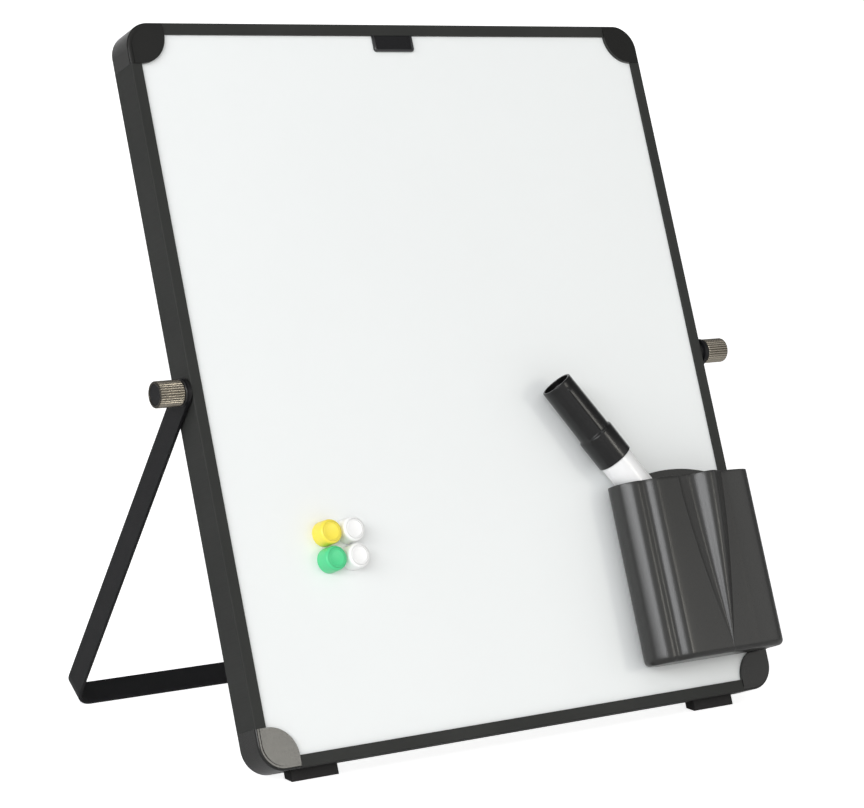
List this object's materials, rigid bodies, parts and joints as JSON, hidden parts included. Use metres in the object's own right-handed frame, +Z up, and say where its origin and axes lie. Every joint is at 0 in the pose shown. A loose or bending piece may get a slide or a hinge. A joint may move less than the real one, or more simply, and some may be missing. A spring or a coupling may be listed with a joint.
{
  "type": "desktop whiteboard easel",
  "caption": "Framed two-sided whiteboard leaning on a pivoting strap stand clamped by side knobs, with a magnetic marker holder, a capped marker and round magnet buttons.",
  "frame": {"origin": "middle of the footprint on the desk", "axes": "+X to the right along the board, +Y back from the board's face towards the stand, +Z up"},
  "size_m": [0.3332, 0.2, 0.3339],
  "materials": {
    "frame_rail": "dark anodised, satin",
    "corner_cap": "moulded, satin sheen",
    "writing_sheet": "white enamel, glossy dry-wipe face",
    "panel_core": "fibreboard",
    "tab": "printed film left blank",
    "foot": "matte",
    "insert": "plain",
    "washer": "matte",
    "strap": "black powder coat, satin",
    "collar": "satin",
    "knob": "pewter plating, knurled",
    "knob_disc": "satin",
    "stud": "plain",
    "holder": "charcoal, satin gloss",
    "magnet": "ferrite, matte",
    "marker_barrel": "white, smooth",
    "marker_plug": "black, smooth",
    "reservoir": "ink-soaked fibre",
    "nib": "fibre, black",
    "marker_cap": "black, glossy",
    "button_yellow": "moulded, glossy",
    "button_green": "moulded, glossy",
    "button_white": "moulded, glossy"
  },
  "bodies": {
    "board": {"corner_cap_bottom_left": "corner_cap", "corner_cap_bottom_right": "corner_cap", "corner_cap_top_left": "corner_cap", "corner_cap_top_right": "corner_cap", "foot_left": "foot", "foot_right": "foot", "inner_washer_left": "washer", "inner_washer_right": "washer", "panel_core": "panel_core", "pivot_insert_left": "insert", "pivot_insert_right": "insert", "rail_bottom": "frame_rail", "rail_left": "frame_rail", "rail_right": "frame_rail", "rail_top": "frame_rail", "top_tab": "tab", "writing_sheet_back": "writing_sheet", "writing_sheet_front": "writing_sheet"},
    "stand": {"stand_strap": "strap", "collar_left": "collar", "collar_right": "collar"},
    "knob_left": {"knob_grip_left": "knob", "knob_disc_left": "knob_disc", "knob_stud_left": "stud"},
    "knob_right": {"knob_grip_right": "knob", "knob_disc_right": "knob_disc", "knob_stud_right": "stud"},
    "holder": {"holder_front": "holder", "holder_plate": "holder", "holder_magnets": "magnet"},
    "marker": {"marker_barrel": "marker_barrel", "marker_end_plug": "marker_plug", "marker_reservoir": "reservoir", "marker_section": "marker_plug", "marker_nib": "nib"},
    "cap": {"marker_cap": "marker_cap", "marker_cap_seal": "marker_cap"},
    "button_yellow": {"button_yellow": "button_yellow", "button_magnet_yellow": "magnet"},
    "button_green": {"button_green": "button_green", "button_magnet_green": "magnet"},
    "button_white_upper": {"button_white_upper": "button_white", "button_magnet_white_upper": "magnet"},
    "button_white_lower": {"button_white_lower": "button_white", "button_magnet_white_lower": "magnet"}
  },
  "joints": [
    {"name": "stand_swing", "type": "hinge", "parent": "board", "child": "stand", "pos_m": [0, -0.01538, 0.16972], "axis": [1, 0, 0], "continuous": true},
    {"name": "knob_left_turn", "type": "hinge", "parent": "board", "child": "knob_left", "pos_m": [-0.1537, -0.01538, 0.16972], "axis": [-1, 0, 0], "continuous": true},
    {"name": "knob_right_turn", "type": "hinge", "parent": "board", "child": "knob_right", "pos_m": [0.1537, -0.01538, 0.16972], "axis": [1, 0, 0], "continuous": true},
    {"name": "holder_pull", "type": "slide", "parent": "board", "child": "holder", "axis": [0, -0.9291, 0.3697], "range_m": [0, 0.06]},
    {"name": "marker_lift", "type": "slide", "parent": "holder", "child": "marker", "axis": [-0.5534, 0.308, 0.7739], "range_m": [0, 0.08]},
    {"name": "cap_pull", "type": "slide", "parent": "marker", "child": "cap", "axis": [-0.5534, 0.308, 0.7739], "range_m": [0, 0.05]},
    {"name": "button_yellow_pull", "type": "slide", "parent": "board", "child": "button_yellow", "axis": [0, -0.9291, 0.3697], "range_m": [0, 0.03]},
    {"name": "button_green_pull", "type": "slide", "parent": "board", "child": "button_green", "axis": [0, -0.9291, 0.3697], "range_m": [0, 0.03]},
    {"name": "button_white_upper_pull", "type": "slide", "parent": "board", "child": "button_white_upper", "axis": [0, -0.9291, 0.3697], "range_m": [0, 0.03]},
    {"name": "button_white_lower_pull", "type": "slide", "parent": "board", "child": "button_white_lower", "axis": [0, -0.9291, 0.3697], "range_m": [0, 0.03]}
  ]
}
